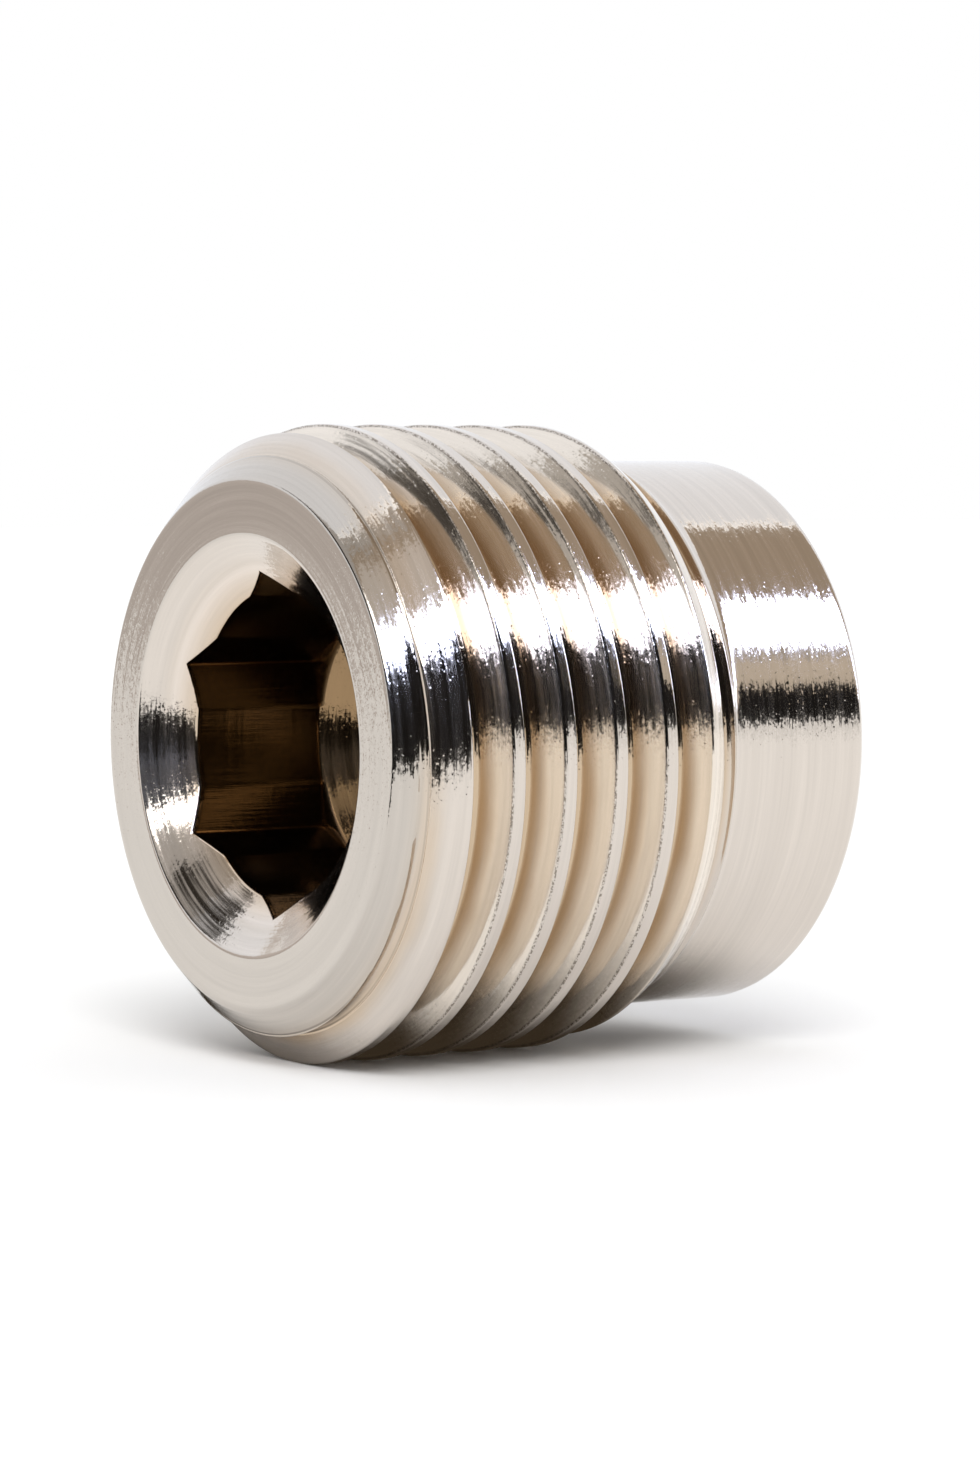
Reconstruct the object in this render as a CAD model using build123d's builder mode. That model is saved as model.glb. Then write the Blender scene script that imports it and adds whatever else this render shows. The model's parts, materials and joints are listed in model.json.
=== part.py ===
from build123d import *

# Hex socket plug with a G 1/8 thread, turned from brass bar in one piece.
# The plug stands on its spigot: Z is its axis, z = 0 is the flat end of the spigot, and the
# hexagon socket opens upwards. Two corners of the hexagon lie on the X axis. Millimetres.

import math
import os

# Lengths along the axis
overall_length = 8.5
spigot_length = 2.45            # from the end face to the foot of the thread's rear chamfer
socket_depth = 2.8              # from the face ring to the foot of the flats

# Diameters
thread_major_diameter = 9.68    # of the full thread form, before its crests are turned flat
ring_diameter = 7.96            # outer edge of the flat ring round the socket
mouth_diameter = 6.3            # inner edge of the ring, where the countersink starts
pilot_diameter = 4.65           # drilled before the hexagon is pressed in
socket_across_flats = 4.5

# Steps on the radius
crest_cut = 0.04                # turned off the crests
spigot_relief = 0.01            # from the groove's floor down to the spigot

# Thread: Whitworth form, 28 turns to the inch, right-handed
thread_pitch = 25.4 / 28
flank_angle = 27.5              # of each flank, from the plane across the axis
groove_exit_angle = 29          # from X, where the middle of the groove leaves the face plane

# Chamfers, and angles measured from the axis
lead_chamfer_angle = 45         # from the ring down to the thread crests
rear_chamfer_angle = 30         # from the thread crests down to the spigot
countersink_half_angle = 55
drill_half_angle = 59
spigot_end_chamfer = 0.15
edge_round = 0.05               # on the two edges of the ring

# Radii
crest_radius = thread_major_diameter / 2 - crest_cut
ring_radius = ring_diameter / 2
mouth_radius = mouth_diameter / 2
pilot_radius = pilot_diameter / 2


def run_of(rise, angle_from_axis):
    """Length along the axis in which a cone of this half-angle gains this much radius."""
    return rise / math.tan(math.radians(angle_from_axis))


# Whitworth groove: the sharp V loses a sixth of its height at the root, where it ends in a flat
flank_slope = math.tan(math.radians(flank_angle))
sharp_height = thread_pitch / 2 / flank_slope
groove_floor_radius = thread_major_diameter / 2 - sharp_height * 2 / 3
spigot_radius = groove_floor_radius - spigot_relief
cutter_radius = crest_radius + thread_pitch / 8       # the cutter's open side, clear of the crests
floor_half_width = sharp_height / 6 * flank_slope
cutter_half_width = floor_half_width + (cutter_radius - groove_floor_radius) * flank_slope

# Heights
socket_foot = overall_length - socket_depth
drill_tip = socket_foot - run_of(pilot_radius, drill_half_angle)
countersink_foot = overall_length - run_of(mouth_radius - pilot_radius, countersink_half_angle)
lead_chamfer_foot = overall_length - run_of(crest_radius - ring_radius, lead_chamfer_angle)
rear_chamfer_top = spigot_length + run_of(crest_radius - spigot_radius, rear_chamfer_angle)

# The groove runs past both chamfers, and leaves no mark on the spigot, which is below its floor
groove_bottom = spigot_length - thread_pitch
groove_length = overall_length + thread_pitch - groove_bottom
bar_length = overall_length + 2 * thread_pitch
groove_start = math.radians(groove_exit_angle + 360 * (groove_bottom - overall_length) / thread_pitch)
groove_radial = (math.cos(groove_start), math.sin(groove_start), 0)
groove_back = (math.sin(groove_start), -math.cos(groove_start), 0)
helix_plane = Plane(origin=(0, 0, groove_bottom), x_dir=groove_radial, z_dir=(0, 0, 1))
groove_plane = Plane(origin=(0, 0, groove_bottom), x_dir=groove_radial, z_dir=groove_back)

with BuildPart() as hex_socket_plug:
    # Bar, longer than the plug, with the thread groove along it
    Cylinder(crest_radius, bar_length, align=(Align.CENTER, Align.CENTER, Align.MIN))
    with BuildLine(helix_plane) as groove_path:
        Helix(thread_pitch, groove_length, crest_radius)
    with BuildSketch(groove_plane):
        with BuildLine():
            Polyline(
                (groove_floor_radius, -floor_half_width),
                (cutter_radius, -cutter_half_width),
                (cutter_radius, cutter_half_width),
                (groove_floor_radius, floor_half_width),
                close=True,
            )
        make_face()
    sweep(path=groove_path.line, is_frenet=True, mode=Mode.SUBTRACT)

    # Spigot, chamfers, face ring, countersink and drilled hole, turned on the bar
    with BuildSketch(Plane.XZ) as half_section:
        with BuildLine():
            Polyline(
                (0, 0),
                (spigot_radius - spigot_end_chamfer, 0),
                (spigot_radius, spigot_end_chamfer),
                (spigot_radius, spigot_length),
                (crest_radius, rear_chamfer_top),
                (crest_radius, lead_chamfer_foot),
                (ring_radius, overall_length),
                (mouth_radius, overall_length),
                (pilot_radius, countersink_foot),
                (pilot_radius, socket_foot),
                (0, drill_tip),
                close=True,
            )
        make_face()
        ring_edges = half_section.vertices().group_by(Axis.Y)[-1]
        fillet(ring_edges, radius=edge_round)
    revolve(axis=Axis.Z, mode=Mode.INTERSECT)

    # Hexagon pressed into the drilled hole
    with BuildSketch(Plane.XY.offset(socket_foot)):
        RegularPolygon(socket_across_flats / 2, 6, major_radius=False)
    extrude(amount=socket_depth, mode=Mode.SUBTRACT)

hex_socket_plug.part.label = "hex_socket_plug"
os.makedirs("parts", exist_ok=True)
export_step(hex_socket_plug.part, "parts/hex_socket_plug.step")
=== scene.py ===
"""Hex socket plug: the finished surface of the turned, threaded and nickel-plated plug.

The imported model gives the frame. The plug stands on its spigot with its axis on Z. The stage
lays a pale floor against the thread crests, so the plug lies on its side in the picture.
All sizes are in metres.
"""

import json
import math

import bpy
import numpy as np
from mathutils import Matrix, Vector


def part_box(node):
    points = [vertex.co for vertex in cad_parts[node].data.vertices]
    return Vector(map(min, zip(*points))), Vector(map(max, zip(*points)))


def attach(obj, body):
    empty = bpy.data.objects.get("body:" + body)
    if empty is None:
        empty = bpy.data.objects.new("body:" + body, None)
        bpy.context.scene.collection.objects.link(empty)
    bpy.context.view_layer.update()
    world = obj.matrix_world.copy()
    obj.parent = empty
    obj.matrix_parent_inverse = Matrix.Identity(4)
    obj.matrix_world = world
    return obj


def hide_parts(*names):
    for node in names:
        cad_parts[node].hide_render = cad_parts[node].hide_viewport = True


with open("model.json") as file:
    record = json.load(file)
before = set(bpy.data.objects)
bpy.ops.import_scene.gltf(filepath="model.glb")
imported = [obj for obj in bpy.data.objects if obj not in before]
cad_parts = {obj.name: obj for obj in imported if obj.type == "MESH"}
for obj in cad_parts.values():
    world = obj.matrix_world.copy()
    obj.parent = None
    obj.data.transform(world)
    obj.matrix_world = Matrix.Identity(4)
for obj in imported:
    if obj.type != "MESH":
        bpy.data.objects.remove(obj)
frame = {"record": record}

bl_info = {
    "name": "Hex Socket Plug",
    "version": (1, 0, 0),
    "blender": (4, 5, 0),
    "location": "View3D > Sidebar > Plug",
    "description": "Makes the finished surface of a threaded hex socket plug, and a stage for it",
    "category": "Object",
}

NODE = "hex_socket_plug"
MM = 0.001
LOWEST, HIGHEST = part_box(NODE)
MOUNTS = {mount["name"]: mount for mount in frame["record"]["mounts"]}
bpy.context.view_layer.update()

COLUMNS = 360                   # facets round the plug
ARC_ROWS = 4                    # rows on each half of a thread root
FLANK_ROWS = 2                  # rows on a flank between the root and the crest corner
HALF_TURN_ROWS = ARC_ROWS + FLANK_ROWS + 6
WELD = 1e-7                     # vertices nearer than this are one
SUPPORT = 1.6                   # where the row that holds a rounded corner stands, in corner sizes
CORNER_PULL = 0.55              # how far a corner's middle is drawn in towards its chord
CORNER_ROOM = 0.45              # the most of a face's length that the rows of its corner take
FLANK_HOLD, FLANK_EDGE = 0.80, 0.88      # shares of a short flank at which its corner's rows start
LAND_HOLD, LAND_EDGE = 0.40, 0.25        # shares of a narrow crest at which they end
TINY = 1e-12                    # keeps a length of zero out of a division
SHARP_ANGLE = math.radians(42)


# Sizes and colours -----------------------------------------------------------------------------


class PlugSizes(bpy.types.PropertyGroup):
    """Sizes of the turned, threaded and broached plug."""

    length: bpy.props.FloatProperty(
        name="Length", description="Overall length", default=HIGHEST[2] - LOWEST[2],
        unit="LENGTH", precision=5)
    crest_radius: bpy.props.FloatProperty(
        name="Crest radius", description="Radius of the flat thread crests", default=4.80 * MM,
        unit="LENGTH", precision=5)
    pitch: bpy.props.FloatProperty(
        name="Pitch", description="Distance between thread crests", default=25.4 * MM / 28,
        unit="LENGTH", precision=5)
    floor_radius: bpy.props.FloatProperty(
        name="Groove floor radius", description="Radius at the bottom of the thread groove",
        default=4.2591 * MM, unit="LENGTH", precision=5)
    flank_angle: bpy.props.FloatProperty(
        name="Flank angle", description="Slope of each thread flank from the plane across the axis",
        default=math.radians(27.5), subtype="ANGLE")
    groove_exit: bpy.props.FloatProperty(
        name="Groove exit", description="Angle at which the groove's middle leaves the face plane",
        default=math.radians(29), subtype="ANGLE")
    spigot_radius: bpy.props.FloatProperty(
        name="Spigot radius", description="Radius of the plain spigot",
        default=MOUNTS["spigot"]["dims"]["r_mm"] * MM, unit="LENGTH", precision=5)
    spigot_length: bpy.props.FloatProperty(
        name="Spigot length", description="From the end face to the rear chamfer",
        default=2.45 * MM, unit="LENGTH", precision=5)
    ring_radius: bpy.props.FloatProperty(
        name="Ring radius", description="Outer radius of the flat ring round the socket",
        default=3.98 * MM, unit="LENGTH", precision=5)
    mouth_radius: bpy.props.FloatProperty(
        name="Mouth radius", description="Radius at which the countersink starts",
        default=3.15 * MM, unit="LENGTH", precision=5)
    pilot_radius: bpy.props.FloatProperty(
        name="Pilot radius", description="Radius of the hole drilled before the hexagon",
        default=2.325 * MM, unit="LENGTH", precision=5)
    across_flats: bpy.props.FloatProperty(
        name="Across flats", description="Hexagon across flats", default=4.5 * MM,
        unit="LENGTH", precision=5)
    socket_depth: bpy.props.FloatProperty(
        name="Socket depth", description="From the face to the foot of the flats",
        default=2.8 * MM, unit="LENGTH", precision=5)
    lead_chamfer: bpy.props.FloatProperty(
        name="Lead chamfer", description="Slope from the axis of the chamfer at the socket end",
        default=math.radians(45), subtype="ANGLE")
    rear_chamfer: bpy.props.FloatProperty(
        name="Rear chamfer", description="Slope from the axis of the chamfer at the spigot end",
        default=math.radians(30), subtype="ANGLE")
    countersink: bpy.props.FloatProperty(
        name="Countersink", description="Half angle of the countersink",
        default=math.radians(55), subtype="ANGLE")
    drill_point: bpy.props.FloatProperty(
        name="Drill point", description="Half angle of the drill point",
        default=math.radians(59), subtype="ANGLE")
    spigot_end: bpy.props.FloatProperty(
        name="Spigot end chamfer", description="Size of the chamfer at the spigot's end",
        default=0.15 * MM, unit="LENGTH", precision=5)
    crest_round: bpy.props.FloatProperty(
        name="Crest rounding", description="Size of the rounding on the thread's crest corners",
        default=0.022 * MM, unit="LENGTH", precision=6)
    edge_round: bpy.props.FloatProperty(
        name="Edge rounding", description="Size of the rounding on the turned edges",
        default=0.05 * MM, unit="LENGTH", precision=6)


class PlugFinish(bpy.types.PropertyGroup):
    """Colours and marks of the plated metal."""

    plating: bpy.props.FloatVectorProperty(
        name="Plating", description="Colour of the bright nickel plating", subtype="COLOR",
        size=3, default=(0.67, 0.61, 0.55))
    # Root tint: the brass colour of thin plating, made darker as painted shade in the thread's roots.
    root_tint_and_shade: bpy.props.FloatVectorProperty(
        name="Root tint", description="Colour of the thin plating in the thread roots",
        subtype="COLOR", size=3, default=(0.57, 0.44, 0.305))
    # Flank tint: lighter than the plating, painted light that lifts the shade where each flank mirrors
    # the next.
    flank_light_tint: bpy.props.FloatVectorProperty(
        name="Flank tint", description="Colour of the plating on the thread's polished flanks",
        subtype="COLOR", size=3, default=(0.80, 0.725, 0.635))
    # Socket tint: nearly black, painted shade deep in the hexagon over the thin plating's brass colour.
    # The dark specks on the crest corners use it too.
    socket_shade_tint: bpy.props.FloatVectorProperty(
        name="Socket tint", description="Colour of the thin plating deep in the hexagon",
        subtype="COLOR", size=3, default=(0.085, 0.058, 0.030))
    # Drilled tint: darker than the plating, painted shade at the socket's bottom. On the hexagon's
    # corners it paints light lines, which are painted highlights.
    drilled_tint: bpy.props.FloatVectorProperty(
        name="Drilled tint", description="Colour of the plating on the drill point's cone",
        subtype="COLOR", size=3, default=(0.29, 0.19, 0.10))
    ring_tint: bpy.props.FloatVectorProperty(
        name="Ring tint", description="Colour of the plating on the faced ring, which is duller",
        subtype="COLOR", size=3, default=(0.57, 0.525, 0.475))
    countersink_tint: bpy.props.FloatVectorProperty(
        name="Countersink tint", description="Colour of the plating on the polished countersink",
        subtype="COLOR", size=3, default=(0.78, 0.72, 0.67))
    roughness: bpy.props.FloatProperty(
        name="Roughness", description="Roughness of the plated surface", default=0.11,
        min=0.0, max=1.0)
    lean_round: bpy.props.FloatProperty(
        name="Lean round", description="How far the turned rings lean round the axis", default=0.06)
    lean_along: bpy.props.FloatProperty(
        name="Lean along", description="How far the turned rings lean along the profile", default=0.06)
    ridge_radius: bpy.props.FloatProperty(
        name="Ridge radius", description="Radius of the fine ridge that the tool left on the chamfer",
        default=4.33 * MM, unit="LENGTH", precision=5)
    # Lines: at the chamfer's ridge they are a painted highlight and a painted shade
    lines: bpy.props.FloatProperty(
        name="Lines", description="How much the turned rings change the colour", default=0.35)
    fineness: bpy.props.FloatProperty(
        name="Fineness", description="Turned rings to the millimetre", default=28.0)


class StageSettings(bpy.types.PropertyGroup):
    """Where the camera stands and how the plug lies under it."""

    floor_turn: bpy.props.FloatProperty(
        name="Floor turn", description="Direction of the floor's normal, from +X",
        default=math.radians(-4.23), subtype="ANGLE")
    from_axis: bpy.props.FloatProperty(
        name="Angle from axis", description="Angle between the plug's axis and the way to the camera",
        default=math.radians(55.43), subtype="ANGLE")
    above_floor: bpy.props.FloatProperty(
        name="Angle above floor", description="How far the camera looks down on the floor",
        default=math.radians(3.44), subtype="ANGLE")
    roll: bpy.props.FloatProperty(
        name="Roll", description="Turn of the camera about its own line of sight",
        default=math.radians(0.19), subtype="ANGLE")
    distance: bpy.props.FloatProperty(
        name="Distance", description="From the aim point to the camera", default=74.94 * MM,
        unit="LENGTH", precision=5)
    aim_height: bpy.props.FloatProperty(
        name="Aim height", description="Height of the aim point on the plug's axis",
        default=3.70 * MM, unit="LENGTH", precision=5)
    aim_right: bpy.props.FloatProperty(
        name="Aim right", description="How far right of the picture's middle the aim point is",
        default=0.291 * MM, unit="LENGTH", precision=6)
    aim_up: bpy.props.FloatProperty(
        name="Aim up", description="How far above the picture's middle the aim point is",
        default=-0.019 * MM, unit="LENGTH", precision=6)
    lens: bpy.props.FloatProperty(
        name="Lens", description="Focal length in millimetres", default=118.7)


# Node helpers ----------------------------------------------------------------------------------


class Field:
    """A value in a node tree. Arithmetic on it adds Math nodes to the tree."""

    def __init__(self, tree, socket):
        self.tree = tree
        self.socket = socket

    def __add__(self, other):
        return calc("ADD", self, other)

    def __sub__(self, other):
        return calc("SUBTRACT", self, other)

    def __rsub__(self, other):
        return calc("SUBTRACT", other, self)

    def __mul__(self, other):
        return calc("MULTIPLY", self, other)

    def __truediv__(self, other):
        return calc("DIVIDE", self, other)

    def __rtruediv__(self, other):
        return calc("DIVIDE", other, self)

    __radd__ = __add__
    __rmul__ = __mul__


def calc(operation, *values):
    """A Math node on one to three fields or numbers."""
    tree = next(value.tree for value in values if isinstance(value, Field))
    node = tree.nodes.new("ShaderNodeMath")
    node.operation = operation
    for socket, value in zip(node.inputs, values):
        if isinstance(value, Field):
            tree.links.new(value.socket, socket)
        else:
            socket.default_value = value
    return Field(tree, node.outputs[0])


def least(first, *others):
    """The least of some values."""
    for other in others:
        first = calc("MINIMUM", first, other)
    return first


def most(first, *others):
    """The most of some values."""
    for other in others:
        first = calc("MAXIMUM", first, other)
    return first


def choose(condition, if_true, if_false):
    """if_true where the condition is 1, and if_false where it is 0."""
    return if_false + condition * (if_true - if_false)


def add_node(tree, kind, settings=None, **values):
    """A node with its settings, and its inputs by name with underscores for spaces."""
    node = tree.nodes.new(kind)
    for name, value in (settings or {}).items():
        setattr(node, name, value)
    for name, value in values.items():
        socket = node.inputs[name.replace("_", " ")]
        if isinstance(value, Field):
            tree.links.new(value.socket, socket)
        elif isinstance(value, bpy.types.NodeSocket):
            tree.links.new(value, socket)
        else:
            socket.default_value = value
    return node


def new_tree(name, kind, inputs, outputs):
    """A node group, with its input and output sockets given as {name: socket type}."""
    tree = bpy.data.node_groups.new(name, kind)
    for label, socket_type in inputs.items():
        tree.interface.new_socket(label, in_out="INPUT", socket_type=socket_type)
    for label, socket_type in outputs.items():
        tree.interface.new_socket(label, in_out="OUTPUT", socket_type=socket_type)
    source = tree.nodes.new("NodeGroupInput")
    sink = tree.nodes.new("NodeGroupOutput")
    return tree, source, sink


# Threaded barrel -------------------------------------------------------------------------------


BARREL_INPUTS = (
    "Pitch", "Crest radius", "Floor radius", "Flank angle", "Groove exit", "Ring radius",
    "Spigot radius", "Top", "Barrel top", "Spigot length", "Lead chamfer", "Rear chamfer",
    "Crest rounding",
)


def barrel_tree():
    """Geometry Nodes for the outside between the lead chamfer's top and the spigot.

    A grid is wrapped round the axis. Its rows follow the helix, and stand on the root's arc, on
    the flanks, on the rounded crest corners and on the crest's flat. Each flank ends where it
    meets the crest or a chamfer, so the thread runs out through both chamfers with clean edges.
    """
    inputs = {"Geometry": "NodeSocketGeometry"}
    inputs.update({name: "NodeSocketFloat" for name in BARREL_INPUTS})
    inputs.update({"Rows": "NodeSocketInt", "Columns": "NodeSocketInt", "Material": "NodeSocketMaterial"})
    tree, source, sink = new_tree(
        "Threaded barrel", "GeometryNodeTree", inputs, {"Geometry": "NodeSocketGeometry"})
    size = {name: Field(tree, source.outputs[name]) for name in inputs if name != "Geometry"}
    pitch, crest, floor = size["Pitch"], size["Crest radius"], size["Floor radius"]
    top, spigot, foot = size["Top"], size["Spigot radius"], size["Spigot length"]
    slope = calc("TANGENT", size["Flank angle"])
    sine = calc("SINE", size["Flank angle"])
    cosine = calc("COSINE", size["Flank angle"])
    lead = calc("TANGENT", size["Lead chamfer"])
    rear = calc("TANGENT", size["Rear chamfer"])

    rows, columns = size["Rows"], size["Columns"]
    grid = add_node(tree, "GeometryNodeMeshGrid", Size_X=rows - 1, Size_Y=columns,
                    Vertices_X=rows, Vertices_Y=columns + 1)
    position = add_node(tree, "GeometryNodeInputPosition").outputs[0]
    place = add_node(tree, "ShaderNodeSeparateXYZ", Vector=position)
    row = calc("ROUND", Field(tree, place.outputs["X"]) + (rows - 1) / 2)
    column = calc("ROUND", Field(tree, place.outputs["Y"]) + columns / 2)
    angle = column * (2 * math.pi) / columns

    # Which turn of the groove, which side of it, and how far from its middle
    turn = calc("FLOOR", row / (2 * HALF_TURN_ROWS))
    within = row - turn * (2 * HALF_TURN_ROWS)
    upper = calc("GREATER_THAN", within, HALF_TURN_ROWS + 0.5)
    side = upper * 2 - 1
    step = HALF_TURN_ROWS - calc("ABSOLUTE", within - HALF_TURN_ROWS)
    turns_up = (angle - size["Groove exit"]) / (2 * math.pi) + 1 - turn
    middle = top + pitch * (turns_up - upper)

    # Whitworth root: an arc that meets both flanks
    sharp_height = pitch / (2 * slope)
    root = sharp_height / 6 * sine / (1 - sine)
    full_arc = math.pi / 2 - size["Flank angle"]
    arc = least(step / ARC_ROWS, 1) * full_arc
    arc_radius = floor + root * (1 - calc("COSINE", arc))
    arc_run = root * calc("SINE", arc)
    tangent_radius = floor + root * (1 - sine)
    tangent_run = root * cosine
    flank_rise = crest - tangent_radius
    flank_run = flank_rise * slope

    def outside(height):
        """Radius of the turned outside at this height, held between the barrel's ends."""
        height = least(most(height, foot), size["Barrel top"])
        return least(crest, size["Ring radius"] + (top - height) * lead, spigot + (height - foot) * rear)

    def flank_end(groove_middle, way):
        """The share of the flank that is left under the crest and the chamfers."""
        start = groove_middle + way * tangent_run
        under_lead = (size["Ring radius"] + (top - start) * lead - tangent_radius) / (
            flank_rise + way * flank_run * lead)
        under_rear = (spigot + (start - foot) * rear - tangent_radius) / (
            flank_rise - way * flank_run * rear)
        return most(least(under_lead, under_rear, 1), 0)

    own_end = flank_end(middle, side)
    own_corner = middle + side * (tangent_run + own_end * flank_run)
    far_middle = middle + side * pitch
    far_end = flank_end(far_middle, -1 * side)
    far_corner = far_middle - side * (tangent_run + far_end * flank_run)
    land = calc("ABSOLUTE", far_corner - own_corner)

    rounding = size["Crest rounding"]
    share = rounding * cosine / flank_rise
    flank_step = (step - ARC_ROWS) / (FLANK_ROWS + 1)
    on_flank = flank_step * own_end
    flank_hold = most(own_end - share * SUPPORT, own_end * FLANK_HOLD)
    flank_edge = most(own_end - share, own_end * FLANK_EDGE)
    land_edge = least(rounding, land * LAND_EDGE)
    land_hold = least(rounding * SUPPORT, land * LAND_HOLD)

    def flank_point(part):
        return tangent_radius + part * flank_rise, middle + side * (tangent_run + part * flank_run)

    def land_point(run):
        height = own_corner + side * run
        return outside(height), height

    corner = (outside(own_corner), own_corner)
    edge_low, edge_high = flank_point(flank_edge), land_point(land_edge)
    rounded = [
        point + (low + high - 2 * point) * (CORNER_PULL / 2)
        for point, low, high in zip(corner, edge_low, edge_high)]

    # What the row stands on, by how many rows it is from the groove's middle
    stations = (
        flank_point(on_flank), flank_point(flank_hold), edge_low, rounded, edge_high,
        land_point(land_hold), land_point(land / 2))
    first_steps = (ARC_ROWS + 1, *range(ARC_ROWS + FLANK_ROWS + 1, HALF_TURN_ROWS + 1))
    radius, height = arc_radius, middle + side * arc_run
    for first_step, station in zip(first_steps, stations):
        past = calc("GREATER_THAN", step, first_step - 0.5)
        radius = choose(past, station[0], radius)
        height = choose(past, station[1], height)
    radius = least(radius, outside(height))
    height = least(most(height, foot), size["Barrel top"])

    wrapped = add_node(tree, "ShaderNodeCombineXYZ", X=radius * calc("COSINE", angle),
                       Y=radius * calc("SINE", angle), Z=height)
    moved = add_node(tree, "GeometryNodeSetPosition", Geometry=grid.outputs["Mesh"],
                     Position=wrapped.outputs[0])
    joined = add_node(tree, "GeometryNodeJoinGeometry")
    tree.links.new(source.outputs["Geometry"], joined.inputs[0])
    tree.links.new(moved.outputs[0], joined.inputs[0])
    welded = add_node(tree, "GeometryNodeMergeByDistance", Geometry=joined.outputs[0], Distance=WELD)
    smooth = add_node(tree, "GeometryNodeSetShadeSmooth", Geometry=welded.outputs[0])
    real = add_node(tree, "GeometryNodeRealizeInstances", Geometry=smooth.outputs[0])
    painted = add_node(tree, "GeometryNodeSetMaterial", Geometry=real.outputs[0],
                       Material=source.outputs["Material"])
    tree.links.new(painted.outputs[0], sink.inputs["Geometry"])
    return tree


# Turned ends and the hexagon socket -------------------------------------------------------------


def point(radius, height):
    """A row of the surface: a radius and a height for each column."""
    return np.stack(np.broadcast_arrays(radius, height, np.zeros(COLUMNS))[:2], axis=1)


def between(start, end, *shares):
    """Rows at these shares of the way from one row to another."""
    return [start + (end - start) * share for share in shares]


def eased(before, corner, after, size):
    """Rows for a rounded corner, with a row each side that keeps the faces beside it flat."""
    def towards(goal, reach):
        way = goal - corner
        length = np.maximum(np.linalg.norm(way, axis=1, keepdims=True), TINY)
        return corner + way / length * np.minimum(reach, length * CORNER_ROOM)

    low, high = towards(before, size), towards(after, size)
    middle = corner + (low + high - 2 * corner) * (CORNER_PULL / 2)
    return [towards(before, size * SUPPORT), low, middle, high, towards(after, size * SUPPORT)]


def surface(strips):
    """Vertices and faces of strips of rows, each strip a list of rows from start to end."""
    angles = np.arange(COLUMNS) * 2 * math.pi / COLUMNS
    vertices, faces = [], []
    for rows in strips:
        for index, row in enumerate(rows):
            base = len(vertices)
            vertices += np.column_stack(
                (row[:, 0] * np.cos(angles), row[:, 0] * np.sin(angles), row[:, 1])).tolist()
            if index:
                above = base - COLUMNS
                for near in range(COLUMNS):
                    far = (near + 1) % COLUMNS
                    faces.append((above + near, base + near, base + far, above + far))
    return vertices, faces


def socket_rows(sizes, barrel_top):
    """From the drill point up the hexagon, over the countersink and the ring, to the barrel."""
    angles = np.arange(COLUMNS) * 2 * math.pi / COLUMNS
    off_flat = np.mod(angles, math.pi / 3) - math.pi / 6
    wall = np.maximum(sizes.across_flats / 2 / np.cos(off_flat), sizes.pilot_radius)
    foot = sizes.length - sizes.socket_depth
    lip = sizes.length - (sizes.mouth_radius - wall) / math.tan(sizes.countersink)
    tip = point(0, foot - sizes.pilot_radius / math.tan(sizes.drill_point))
    drilled, floor_edge = point(sizes.pilot_radius, foot), point(wall, foot)
    hex_lip, mouth = point(wall, lip), point(sizes.mouth_radius, sizes.length)
    ring_edge = point(sizes.ring_radius, sizes.length)
    cone_start = point(*barrel_top)
    round_size = sizes.edge_round
    rows = [tip, *between(tip, drilled, 0.02, 0.3, 0.65, 0.97), drilled, floor_edge]
    rows += between(floor_edge, hex_lip, 0.02, 0.2, 0.4, 0.6, 0.8)
    rows += eased(floor_edge, hex_lip, mouth, round_size / 2)
    rows += between(hex_lip, mouth, 0.25, 0.5, 0.75)
    rows += eased(hex_lip, mouth, ring_edge, round_size / 2)
    rows += between(mouth, ring_edge, 0.33, 0.67)
    rows += eased(mouth, ring_edge, cone_start, round_size)[:4]
    return rows + [cone_start]


def spigot_rows(sizes):
    """From the rear chamfer down the spigot to the middle of its end face."""
    shoulder = point(sizes.spigot_radius, sizes.spigot_length)
    side = point(sizes.spigot_radius, sizes.spigot_end)
    rim = point(sizes.spigot_radius - sizes.spigot_end, 0)
    centre = point(0, 0)
    round_size = sizes.edge_round
    rows = [shoulder, *between(shoulder, side, 0.03, 0.33, 0.66)]
    rows += eased(shoulder, side, rim, round_size)
    rows += eased(side, rim, centre, round_size)
    return rows + [*between(rim, centre, 0.25, 0.5, 0.75, 0.97), centre]


def barrel_start(sizes):
    """Radius and height at which the ring's rounded edge gives way to the lead chamfer."""
    run = sizes.edge_round * SUPPORT
    return (sizes.ring_radius + run * math.sin(sizes.lead_chamfer),
            sizes.length - run * math.cos(sizes.lead_chamfer))


class MakeBlank(bpy.types.Operator):
    """Makes the turned ends of the plug, with the countersunk hexagon socket"""

    bl_idname = "plug.make_blank"
    bl_label = "Turned ends and socket"

    def execute(self, context):
        sizes = context.scene.plug_sizes
        vertices, faces = surface([socket_rows(sizes, barrel_start(sizes)), spigot_rows(sizes)])
        mesh = bpy.data.meshes.new("plug_body")
        mesh.from_pydata(vertices, [], faces)
        mesh.materials.append(plated_metal(context.scene))
        plug = bpy.data.objects.new("plug_body", mesh)
        context.scene.collection.objects.link(plug)
        return {"FINISHED"}


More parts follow.
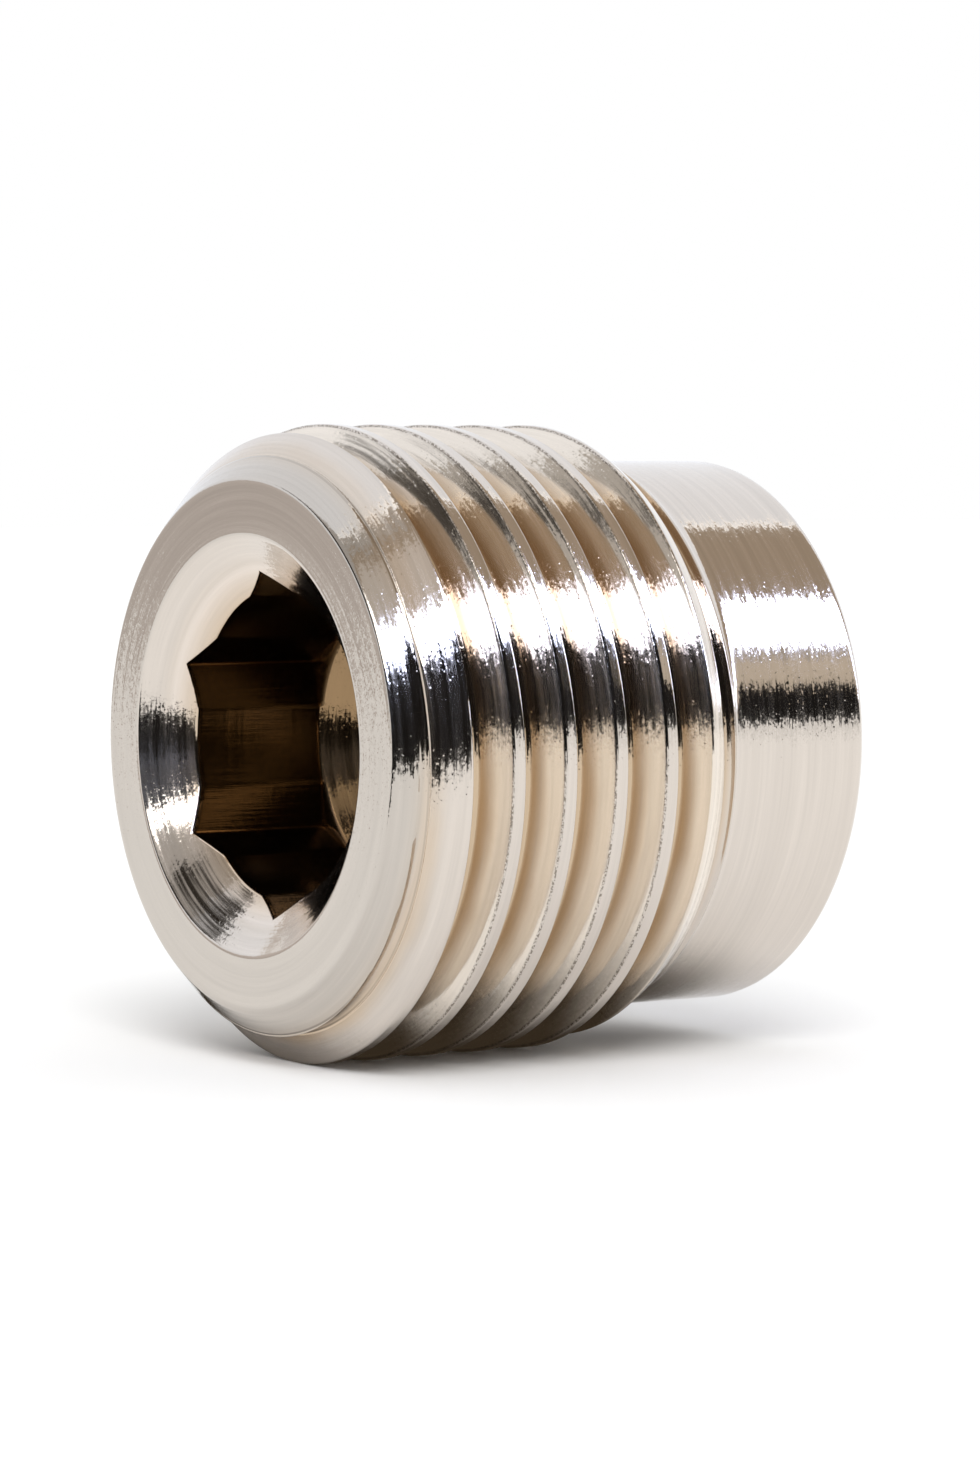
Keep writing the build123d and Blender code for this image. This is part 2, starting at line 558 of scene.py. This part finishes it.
class CutThread(bpy.types.Operator):
    """Adds the threaded barrel to the plug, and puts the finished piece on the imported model"""

    bl_idname = "plug.cut_thread"
    bl_label = "Threaded barrel"

    def execute(self, context):
        sizes = context.scene.plug_sizes
        plug = bpy.data.objects["plug_body"]
        tree = barrel_tree()
        modifier = plug.modifiers.new("Threaded barrel", "NODES")
        modifier.node_group = tree
        turns = math.ceil((sizes.length - sizes.spigot_length) / sizes.pitch + 2)
        values = {
            "Pitch": sizes.pitch, "Crest radius": sizes.crest_radius,
            "Floor radius": sizes.floor_radius, "Flank angle": sizes.flank_angle,
            "Groove exit": sizes.groove_exit, "Ring radius": sizes.ring_radius,
            "Spigot radius": sizes.spigot_radius, "Top": sizes.length,
            "Barrel top": barrel_start(sizes)[1], "Spigot length": sizes.spigot_length,
            "Lead chamfer": sizes.lead_chamfer, "Rear chamfer": sizes.rear_chamfer,
            "Crest rounding": sizes.crest_round, "Rows": turns * 2 * HALF_TURN_ROWS + 1,
            "Columns": COLUMNS, "Material": plug.data.materials[0],
        }
        for item in tree.interface.items_tree:
            if item.in_out == "INPUT" and item.name in values:
                modifier[item.identifier] = values[item.name]
        context.view_layer.update()
        shaped = plug.evaluated_get(context.evaluated_depsgraph_get())
        mesh = bpy.data.meshes.new_from_object(shaped)
        plug.modifiers.remove(modifier)
        plug.data = mesh
        mesh.name = "plug_body"
        mesh.shade_smooth()
        mesh.set_sharp_from_angle(angle=SHARP_ANGLE)
        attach(plug, "root")
        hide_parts(NODE)
        return {"FINISHED"}


# Finish ----------------------------------------------------------------------------------------

GRAIN_LEAN, PIT_LEAN = 0.9, 0.6          # beside the lean of the rings
RIDGE_LEAN = 2.5
RIDGE_HALF_WIDTH, RIDGE_SOFT = 0.01, 0.03    # in millimetres each side of the ridge
RING_ROUGHNESS = 0.25           # how much the turned rings change the roughness
SOCKET_ROUGHNESS = 0.16         # of the hexagon's walls, without the marks of the broach
BROACH_ROUGHNESS = 0.1          # what those marks add
BROACH_DEPTH = 0.006 * MM
NEAR_AXIS = 1e-6                # a radius below this counts as this, so that it can divide


def vector_math(tree, operation, *values):
    """A Vector Math node on one to three sockets or vectors. Returns its first output."""
    node = tree.nodes.new("ShaderNodeVectorMath")
    node.operation = operation
    for socket, value in zip(node.inputs, values):
        if isinstance(value, (Field, bpy.types.NodeSocket)):
            tree.links.new(getattr(value, "socket", value), socket)
        else:
            socket.default_value = value
    return node.outputs[0]


def scaled(tree, vector, factor):
    """A vector times a field."""
    product = vector_math(tree, "SCALE", vector)
    tree.links.new(factor.socket, product.node.inputs["Scale"])
    return product


def noise(tree, vector, fourth, detail=2.0, rough=0.5):
    """Four-dimensional noise, about 0.5 in the mean."""
    node = add_node(tree, "ShaderNodeTexNoise", {"noise_dimensions": "4D"}, Vector=vector, W=fourth,
                    Scale=1.0, Detail=detail, Roughness=rough)
    return Field(tree, node.outputs[0])


def smooth_step(value, low, high):
    """0 below low and 1 above high, with a smooth change between."""
    tree = value.tree
    node = tree.nodes.new("ShaderNodeMapRange")
    node.interpolation_type = "SMOOTHSTEP"
    tree.links.new(value.socket, node.inputs["Value"])
    for name, edge in (("From Min", low), ("From Max", high)):
        if isinstance(edge, Field):
            tree.links.new(edge.socket, node.inputs[name])
        else:
            node.inputs[name].default_value = edge
    return Field(tree, node.outputs["Result"])


def fade(value, low, high):
    """1 below low and 0 above high, with a smooth change between."""
    return 1 - smooth_step(value, low, high)


def round_the_axis(tree):
    """Radius, height, cosine and sine of the angle, in millimetres where they are lengths."""
    where = add_node(tree, "ShaderNodeTexCoord").outputs["Object"]
    parts = add_node(tree, "ShaderNodeSeparateXYZ", Vector=where)
    x, y, z = (Field(tree, parts.outputs[name]) for name in "XYZ")
    radius = calc("SQRT", x * x + y * y)
    held = most(radius, NEAR_AXIS)
    return radius / MM, z / MM, x / held, y / held


def combine(tree, x, y, z):
    return add_node(tree, "ShaderNodeCombineXYZ", X=x, Y=y, Z=z).outputs[0]


def ring_noise(place, fine, share, waver, detail, rough, shift=0):
    """Noise from ring to ring of the turned surface, about 0 in the mean.

    The share makes its rings wider, and the waver makes it change faster round each ring.
    """
    radius, height, cosine, sine = place
    rings = combine(fine.tree, radius * fine * share + shift, height * fine * share, cosine * waver)
    return noise(fine.tree, rings, sine * waver, detail, rough) - 0.5


def grain_noise(place, across, along):
    """Noise in short grains, with this many to the radian round the axis and to the millimetre."""
    radius, height, cosine, sine = place
    grains = combine(radius.tree, cosine * across, height * along, radius * along)
    return noise(radius.tree, grains, sine * across, 1.0)


def turned_surface():
    """Shader group for the marks of turning: a normal that wavers along the profile and round it.

    Each fine ring leans a little its own way round the plug, so the edges of reflections come out
    ragged along the profile. The mask is brighter where a ring stands out. Across the chamfer's ridge
    it is light on the outer side and dark on the inner side, and the colour takes that up as a painted
    highlight and a painted shade.
    """
    inputs = {name: "NodeSocketFloat" for name in ("Round", "Along", "Fineness", "Ridge", "Top")}
    outputs = {"Normal": "NodeSocketVector", "Mask": "NodeSocketFloat"}
    tree, source, sink = new_tree("Turned surface", "ShaderNodeTree", inputs, outputs)
    given = {name: Field(tree, source.outputs[name]) for name in inputs}
    place = round_the_axis(tree)
    radius, height, cosine, sine = place
    fine, ridge, top = given["Fineness"], given["Ridge"], given["Top"]

    # Round the axis: rings, grains, and pits, which their cube makes few and sharp
    around = ring_noise(place, fine, 1, 1.2, 3.0, 0.7)
    around = around + ring_noise(place, fine, 0.6, 45, 2.0, 0.6) * GRAIN_LEAN
    pits = grain_noise(place, 120, 30) * 4 - 2
    around = around + pits * pits * pits * PIT_LEAN

    # Along the profile: furrows, and the fine ridge on the lead chamfer
    along = ring_noise(place, fine, 0.35, 0.7, 3.0, 0.75, shift=40)
    on_chamfer = smooth_step(height, top - 0.8, top - 0.7)
    # The ridge's lean also makes the mask light outside it and dark inside it: a painted highlight and a
    # painted shade in the colour
    line = (smooth_step(radius, ridge - RIDGE_SOFT, ridge - RIDGE_HALF_WIDTH)
            - smooth_step(radius, ridge + RIDGE_HALF_WIDTH, ridge + RIDGE_SOFT))
    side = smooth_step(radius, ridge - RIDGE_HALF_WIDTH, ridge + RIDGE_HALF_WIDTH) * 2 - 1
    along = along + line * side * on_chamfer * RIDGE_LEAN

    normal = add_node(tree, "ShaderNodeNewGeometry").outputs["Normal"]
    tangent = combine(tree, sine * -1, cosine, 0.0)
    profile = vector_math(tree, "CROSS_PRODUCT", normal, tangent)
    lean_round = scaled(tree, tangent, around * given["Round"] * 2)
    lean_along = scaled(tree, profile, along * given["Along"] * 2)
    leaning = vector_math(tree, "ADD", vector_math(tree, "ADD", normal, lean_round), lean_along)
    tree.links.new(vector_math(tree, "NORMALIZE", leaning), sink.inputs["Normal"])
    tree.links.new(least(most(along + 0.5, 0), 1).socket, sink.inputs["Mask"])
    return tree


def plating_colour():
    """Shader group for the plating's colour: browner in the roots and the socket, where the plating is
    thinner, and darker there with painted shade of these hollows. The upper flanks get painted light.

    It also puts out a mask of the hexagon's walls and the marks of the broach on them. Its sizes
    are in millimetres, and so are the widths over which one colour passes into the next.
    """
    tints = ("Plating", "Ring tint", "Countersink tint", "Flank tint", "Root tint", "Socket tint",
             "Drilled tint")
    sizes = ("Floor radius", "Crest radius", "Foot", "Top", "Foot of flats", "Mouth radius",
             "Countersink slope")
    inputs = {name: "NodeSocketColor" for name in tints}
    inputs.update({name: "NodeSocketFloat" for name in sizes})
    tree, source, sink = new_tree(
        "Plating colour", "ShaderNodeTree", inputs,
        {"Color": "NodeSocketColor", "Socket": "NodeSocketFloat", "Broach": "NodeSocketFloat"})
    given = {name: Field(tree, source.outputs[name]) for name in sizes}
    floor, crest, mouth = given["Floor radius"], given["Crest radius"], given["Mouth radius"]
    foot, top, flats_foot = given["Foot"], given["Top"], given["Foot of flats"]
    place = round_the_axis(tree)
    radius, height, cosine, sine = place

    # The thread's roots, unevenly browner and darker towards the groove floor: the thin plating's
    # colour with painted shade of the groove; and the flanks, lighter near the crests with painted light
    patches = combine(tree, cosine * 3, height * 0.8, radius * 1.5)
    uneven = (noise(tree, patches, sine * 3) - 0.5) * 0.25
    threaded = smooth_step(height, foot + 0.1, foot + 0.35) * fade(height, top - 0.75, top - 0.15)
    roots = fade(radius + uneven, floor + 0.03, crest - 0.20) * threaded
    # Painted light on the upper flanks
    flanks = smooth_step(radius, floor + 0.10, floor + 0.28) * threaded
    flanks = flanks * fade(radius, crest - 0.06, crest - 0.02) * fade(height, top - 1.1, top - 0.75)

    # The drilled hole and the hexagon's walls above it, darkened as painted shade of the deep socket,
    # and the corners between the walls
    countersink = top - (mouth - radius) / given["Countersink slope"]
    inside = fade(radius, mouth - 0.5, mouth - 0.4)
    # Painted shade: the whole socket below the countersink takes the darker drilled tint
    socket = inside * smooth_step(countersink - height, 0.02, 0.10) * smooth_step(height, 0.5, 0.8)
    # Painted shade: the walls take the nearly black socket tint
    walls = socket * smooth_step(height, flats_foot + 0.01, flats_foot + 0.06)
    # Painted highlights: light lines along the corners between the walls
    corners = smooth_step(calc("COSINE", calc("ARCTAN2", sine, cosine) * 6), 0.9970, 0.9995)
    marks = combine(tree, cosine * radius * 16, sine * radius * 16, height * 0.3)
    broach = noise(tree, marks, 0.0, 3.0, 0.7)

    # Specks along the crest corners that face the socket's end
    normal = add_node(tree, "ShaderNodeNewGeometry").outputs["Normal"]
    facing = Field(tree, add_node(tree, "ShaderNodeSeparateXYZ", Vector=normal).outputs["Z"])
    edges = smooth_step(radius, crest - 0.05, crest - 0.03) * fade(radius, crest - 0.012, crest - 0.004)
    edges = edges * smooth_step(facing, 0.2, 0.5) * fade(height, top - 1.0, top - 0.9)
    edges = edges * smooth_step(height, foot + 0.4, foot + 0.5)
    edges = edges * smooth_step(grain_noise(place, 170, 40), 0.40, 0.60) * 0.7

    # The faced ring and the countersink inside it
    ring = smooth_step(height, top - 0.42, top - 0.36) * smooth_step(radius, mouth - 0.02, mouth + 0.02)
    sunk = smooth_step(height, countersink - 0.03, countersink) * inside

    colour = source.outputs["Plating"]
    # The flank tint is painted light. The root, socket and drilled tints are painted shade in the hollows
    # over the thin plating's colour, and the drilled tint on the corners is a painted highlight.
    for factor, tint in (
            (ring, "Ring tint"), (sunk, "Countersink tint"), (flanks, "Flank tint"),
            (roots, "Root tint"), (edges, "Socket tint"), (socket, "Drilled tint"),
            (walls, "Socket tint"), (walls * corners, "Drilled tint")):
        mix = add_node(tree, "ShaderNodeMix", {"data_type": "RGBA"})
        tree.links.new(factor.socket, mix.inputs[0])
        tree.links.new(colour, mix.inputs[6])
        tree.links.new(source.outputs[tint], mix.inputs[7])
        colour = mix.outputs[2]
    tree.links.new(colour, sink.inputs["Color"])
    tree.links.new(walls.socket, sink.inputs["Socket"])
    tree.links.new(broach.socket, sink.inputs["Broach"])
    return tree


def plated_metal(scene):
    """Bright nickel plating over turned brass."""
    finish, sizes = scene.plug_finish, scene.plug_sizes
    material = bpy.data.materials.new("nickel_plated_brass")
    material.use_nodes = True
    tree = material.node_tree
    shader = tree.nodes["Principled BSDF"]
    colour = add_node(
        tree, "ShaderNodeGroup", {"node_tree": plating_colour()},
        Plating=(*finish.plating, 1), Root_tint=(*finish.root_tint_and_shade, 1),
        Socket_tint=(*finish.socket_shade_tint, 1), Drilled_tint=(*finish.drilled_tint, 1),
        Ring_tint=(*finish.ring_tint, 1), Countersink_tint=(*finish.countersink_tint, 1),
        Flank_tint=(*finish.flank_light_tint, 1),
        Foot_of_flats=(sizes.length - sizes.socket_depth) / MM, Floor_radius=sizes.floor_radius / MM,
        Crest_radius=sizes.crest_radius / MM, Foot=sizes.spigot_length / MM, Top=sizes.length / MM,
        Mouth_radius=sizes.mouth_radius / MM, Countersink_slope=math.tan(sizes.countersink))
    turned = add_node(
        tree, "ShaderNodeGroup", {"node_tree": turned_surface()},
        Round=finish.lean_round, Along=finish.lean_along, Fineness=finish.fineness,
        Ridge=finish.ridge_radius / MM, Top=sizes.length / MM)
    socket = Field(tree, colour.outputs["Socket"])
    broach = Field(tree, colour.outputs["Broach"])
    mask = Field(tree, turned.outputs["Mask"])
    rough = (mask - 0.5) * RING_ROUGHNESS + finish.roughness
    rough = choose(socket, broach * BROACH_ROUGHNESS + SOCKET_ROUGHNESS, rough)
    bump = add_node(tree, "ShaderNodeBump", Strength=1.0, Distance=BROACH_DEPTH)
    tree.links.new((broach * socket).socket, bump.inputs["Height"])
    tree.links.new(turned.outputs["Normal"], bump.inputs["Normal"])
    tree.links.new(bump.outputs[0], shader.inputs["Normal"])
    # The turned rings change the colour at random, and across the chamfer's ridge with a painted
    # highlight and a painted shade
    lined = scaled(tree, colour.outputs["Color"], (mask - 0.5) * finish.lines + 1)
    tree.links.new(lined, shader.inputs["Base Color"])
    tree.links.new(rough.socket, shader.inputs["Roughness"])
    shader.inputs["Metallic"].default_value = 1.0
    return material


# Stage -----------------------------------------------------------------------------------------

REACH = 0.4                     # how far the floor and the long cards run each way along the axis
CARD_RADIUS = 0.060             # from the plug's axis to a curved card
CARD_STEP = 4                   # degrees from row to row of a curved card
STRIP_END = -0.0365             # where the strips on the spigot's side end
AMBIENT = 0.93                  # the world's light on dull surfaces, where 1 is plain white
CONTACT_END = 8.6               # where the contact card ends along the axis, in millimetres

DARK = (0.012, 0.011, 0.010)
WHITE = (1, 1, 1)
COOL_WHITE = (1.03, 1.06, 1.12)
ALL_ALONG, SPIGOT_SIDE, SOCKET_SIDE = (-REACH, REACH), (-REACH, 0.0), (0.0, REACH)

# Name, first and last angle above the front horizon, colour, strength, reach, distance
CURVED_CARDS = (
    ("dark_room_right", 5, 20.5, DARK, 1.0, SPIGOT_SIDE, CARD_RADIUS),
    ("dark_room_left", -22, 41, DARK, 1.0, SOCKET_SIDE, 0.059),
    ("beige_strip", 20.5, 31.5, (0.70, 0.62, 0.52), 1.0, (-REACH, STRIP_END), CARD_RADIUS),
    ("grey_strip", 31.5, 37, (0.50, 0.45, 0.40), 1.0, (-REACH, STRIP_END), CARD_RADIUS),
    ("dark_by_strips", 20.5, 37, DARK, 1.0, (STRIP_END, 0.0), CARD_RADIUS),
    ("key_softbox", 37, 57.5, (0.83, 0.95, 1.34), 6.0, ALL_ALONG, CARD_RADIUS),
    ("overhead", 57.5, 96, (0.43, 0.35, 0.27), 1.0, ALL_ALONG, CARD_RADIUS),
    ("overhead_end", 57.5, 83, (0.68, 0.62, 0.56), 1.0, (0.035, 0.085), 0.0585),
    ("white_line", 96, 98.5, WHITE, 1.6, ALL_ALONG, CARD_RADIUS),
    ("back_card", 98.5, 178, COOL_WHITE, 1.0, SPIGOT_SIDE, CARD_RADIUS),
    ("back_card_left", 98.5, 160, COOL_WHITE, 1.0, SOCKET_SIDE, CARD_RADIUS),
    ("floor_line", 3.8, 5, WHITE, 1.3, SPIGOT_SIDE, CARD_RADIUS),
    ("key_end", 50, 91, WHITE, 4.0, (0.085, REACH), 0.058),
    ("grey_end", 89, 129, (0.50, 0.48, 0.46), 1.0, (0.045, REACH), 0.057),
    ("dark_end_back", 112, 142, (0.03, 0.025, 0.02), 1.0, (0.084, REACH, 0.034), 0.056),
)

# Name, corners as (front, up, along) in millimetres from the foot of the plug, colour
FLAT_CARDS = (
    ("dark_floor", ((-6, -4.75, 30), (-6, -4.75, 300), (80, -4.75, 300), (80, -4.75, 66)), DARK),
    ("dark_end", ((-10, -4.7, 150), (90, -4.7, 150), (90, 44, 150), (-10, 44, 150)), DARK),
    # A painted shadow: a dark card on the floor under the plug, where its shade falls, which only the
    # metal's reflections show
    ("contact_shadow", ((-6.0, -4.79, -2), (-6.0, -4.79, CONTACT_END), (4.6, -4.79, CONTACT_END),
                 (4.6, -4.79, -2)), (0.04, 0.03, 0.02)),
    ("back_wall", ((-140, -4.7, 20), (-60, -4.7, 160), (-60, 50, 160), (-140, 50, 20)),
     (0.68, 0.63, 0.60)),
)


def stage_axes(settings):
    """Up from the floor, out of the socket along the floor, and towards the front."""
    up = Vector((math.cos(settings.floor_turn), math.sin(settings.floor_turn), 0))
    along = Vector((0, 0, 1))
    return up, along, up.cross(along)


def add_camera(scene, settings):
    """The camera, turned with the floor so that the plug lies on its side in the picture."""
    up, along, front = stage_axes(settings)
    flat = math.cos(settings.above_floor)
    back = (front * math.sin(settings.from_axis) * flat + up * math.sin(settings.above_floor)
            + along * math.cos(settings.from_axis) * flat)
    right = up.cross(back).normalized()
    top = back.cross(right)
    turn = Matrix.Rotation(settings.roll, 3, back)
    right, top = turn @ right, turn @ top
    aim = Vector((0, 0, settings.aim_height))
    data = bpy.data.cameras.new("camera")
    data.lens = settings.lens
    data.clip_start, data.clip_end = 0.001, 10
    camera = bpy.data.objects.new("camera", data)
    place = aim + back * settings.distance - right * settings.aim_right - top * settings.aim_up
    camera.matrix_world = Matrix.Translation(place) @ Matrix((right, top, back)).transposed().to_4x4()
    scene.collection.objects.link(camera)
    scene.camera = camera


def add_mesh(scene, name, vertices, faces, material):
    """A mesh that belongs to the stage."""
    mesh = bpy.data.meshes.new(name)
    mesh.from_pydata([tuple(vertex) for vertex in vertices], [], faces)
    mesh.materials.append(material)
    item = bpy.data.objects.new(name, mesh)
    scene.collection.objects.link(item)
    return item


def mix_shaders(tree, factor, first, second):
    """Mixes two shaders by a socket, and gives the result to the material."""
    mix = tree.nodes.new("ShaderNodeMixShader")
    for socket, source in zip(mix.inputs, (factor, first.outputs[0], second.outputs[0])):
        tree.links.new(source, socket)
    tree.links.new(mix.outputs[0], tree.nodes["Material Output"].inputs["Surface"])


def add_floor(scene, settings):
    """A pale floor that touches the crests. It shows from above only."""
    up, along, front = stage_axes(settings)
    material = bpy.data.materials.new("floor")
    material.use_nodes = True
    tree = material.node_tree
    shader = tree.nodes["Principled BSDF"]
    shader.inputs["Base Color"].default_value = (0.86, 0.86, 0.86, 1)
    shader.inputs["Roughness"].default_value = 0.9
    shader.inputs["Specular IOR Level"].default_value = 0.0
    clear = add_node(tree, "ShaderNodeBsdfTransparent")
    side = add_node(tree, "ShaderNodeNewGeometry")
    mix_shaders(tree, side.outputs["Backfacing"], shader, clear)
    middle = up * -scene.plug_sizes.crest_radius
    corners = [
        middle + along * a * REACH + front * b * REACH
        for a, b in ((-1, -1), (1, -1), (1, 1), (-1, 1))]
    add_mesh(scene, "floor", corners, [(0, 1, 2, 3)], material)


def glow(name, color, strength):
    """A material that gives light and mirrors nothing."""
    material = bpy.data.materials.new(name)
    material.use_nodes = True
    tree = material.node_tree
    tree.nodes.clear()
    emission = add_node(tree, "ShaderNodeEmission", Color=(*color, 1), Strength=strength)
    output = add_node(tree, "ShaderNodeOutputMaterial")
    tree.links.new(emission.outputs[0], output.inputs["Surface"])
    return material


def add_glowing(scene, name, vertices, faces, color, strength):
    """A glowing mesh that only mirror-like rays see."""
    card = add_mesh(scene, name, vertices, faces, glow(name, color, strength))
    card.visible_camera = False
    card.visible_diffuse = False
    card.visible_shadow = False


def add_card(scene, settings, name, start, end, color, strength, reach, distance):
    """A curved card over the plug, from one angle above the front horizon to another.

    Its reach is where it starts and ends along the axis. A third value is where it starts at its
    last angle, and between the two angles its start moves evenly.
    """
    up, along, front = stage_axes(settings)
    count = max(2, round(abs(end - start) / CARD_STEP) + 1)
    vertices = []
    for index in range(count):
        share = index / (count - 1)
        angle = math.radians(start + (end - start) * share)
        side = front * math.cos(angle) + up * math.sin(angle)
        near = reach[0] + (reach[2] - reach[0]) * share if len(reach) == 3 else reach[0]
        vertices += [side * distance + along * near, side * distance + along * reach[1]]
    faces = [(2 * i, 2 * i + 1, 2 * i + 3, 2 * i + 2) for i in range(count - 1)]
    add_glowing(scene, name, vertices, faces, color, strength)


def add_flat_card(scene, settings, name, corners, color):
    """A flat card. Its corners are (front, up, along) in millimetres from the foot of the plug."""
    up, along, front = stage_axes(settings)
    places = [(front * a + up * b + along * c) * MM for a, b, c in corners]
    add_glowing(scene, name, places, [(0, 1, 2, 3)], color, 1.0)


def fade_contact(settings):
    """Makes the contact card a painted shadow under the plug, which fades to the front and both ends."""
    tree = bpy.data.materials["contact_shadow"].node_tree
    where = add_node(tree, "ShaderNodeTexCoord").outputs["Object"]
    dot = vector_math(tree, "DOT_PRODUCT", where, stage_axes(settings)[2]).node
    forward = Field(tree, dot.outputs["Value"]) / MM
    height = Field(tree, add_node(tree, "ShaderNodeSeparateXYZ", Vector=where).outputs["Z"]) / MM
    cover = fade(forward, 1.0, 3.1) * fade(height, 7.0, CONTACT_END) * smooth_step(height, -0.9, 2.4)
    clear = add_node(tree, "ShaderNodeBsdfTransparent")
    mix_shaders(tree, cover.socket, clear, tree.nodes["Emission"])


def add_sun(scene, settings, name, angle, tilt, spread, power):
    """A wide soft light at an angle above the front horizon, tilted towards the socket's side."""
    up, along, front = stage_axes(settings)
    angle, tilt = math.radians(angle), math.radians(tilt)
    way = (front * math.cos(angle) + up * math.sin(angle)) * math.cos(tilt) + along * math.sin(tilt)
    data = bpy.data.lights.new(name, "SUN")
    data.angle = math.radians(spread)
    data.energy = power
    lamp = bpy.data.objects.new(name, data)
    lamp.matrix_world = way.to_track_quat("Z", "Y").to_matrix().to_4x4()
    lamp.visible_glossy = False
    scene.collection.objects.link(lamp)


def add_world(scene):
    """White where it is seen or mirrored, and a little dimmer as light on dull surfaces."""
    world = bpy.data.worlds.new("studio")
    world.use_nodes = True
    tree = world.node_tree
    ground = tree.nodes["Background"]
    path = add_node(tree, "ShaderNodeLightPath")
    seen = most(Field(tree, path.outputs["Is Camera Ray"]), Field(tree, path.outputs["Is Glossy Ray"]),
                Field(tree, path.outputs["Is Transmission Ray"]))
    ground.inputs["Color"].default_value = (1, 1, 1, 1)
    tree.links.new((AMBIENT + seen * (1 - AMBIENT)).socket, ground.inputs["Strength"])
    scene.world = world


class SetStage(bpy.types.Operator):
    """Lays the floor against the thread crests, and adds the cards, the light and the camera"""

    bl_idname = "plug.set_stage"
    bl_label = "Floor, lights and camera"

    def execute(self, context):
        scene = context.scene
        settings = scene.plug_stage
        add_world(scene)
        add_floor(scene, settings)
        for card in CURVED_CARDS:
            add_card(scene, settings, *card)
        for card in FLAT_CARDS:
            add_flat_card(scene, settings, *card)
        fade_contact(settings)
        add_sun(scene, settings, "front_light", angle=45, tilt=24, spread=30, power=1.8)
        add_camera(scene, settings)
        scene.view_settings.view_transform = "Standard"
        return {"FINISHED"}


class PlugPanel(bpy.types.Panel):
    """Buttons and sizes for the hex socket plug"""

    bl_idname = "PLUG_PT_main"
    bl_label = "Hex socket plug"
    bl_space_type = "VIEW_3D"
    bl_region_type = "UI"
    bl_category = "Plug"

    def draw(self, context):
        for operator in OPERATORS:
            self.layout.operator(operator.bl_idname)
        for group_name in GROUPS:
            group = getattr(context.scene, group_name)
            box = self.layout.box()
            for name in type(group).__annotations__:
                box.prop(group, name)


OPERATORS = (MakeBlank, CutThread, SetStage)
GROUPS = {"plug_sizes": PlugSizes, "plug_finish": PlugFinish, "plug_stage": StageSettings}


def register():
    for each in (*GROUPS.values(), *OPERATORS, PlugPanel):
        bpy.utils.register_class(each)
    for name, group in GROUPS.items():
        setattr(bpy.types.Scene, name, bpy.props.PointerProperty(type=group))


def unregister():
    for name in GROUPS:
        delattr(bpy.types.Scene, name)
    for each in reversed((*GROUPS.values(), *OPERATORS, PlugPanel)):
        bpy.utils.unregister_class(each)


def main():
    register()
    for operator in OPERATORS:
        group, name = operator.bl_idname.split(".")
        getattr(getattr(bpy.ops, group), name)()


if __name__ == "__main__":
    main()
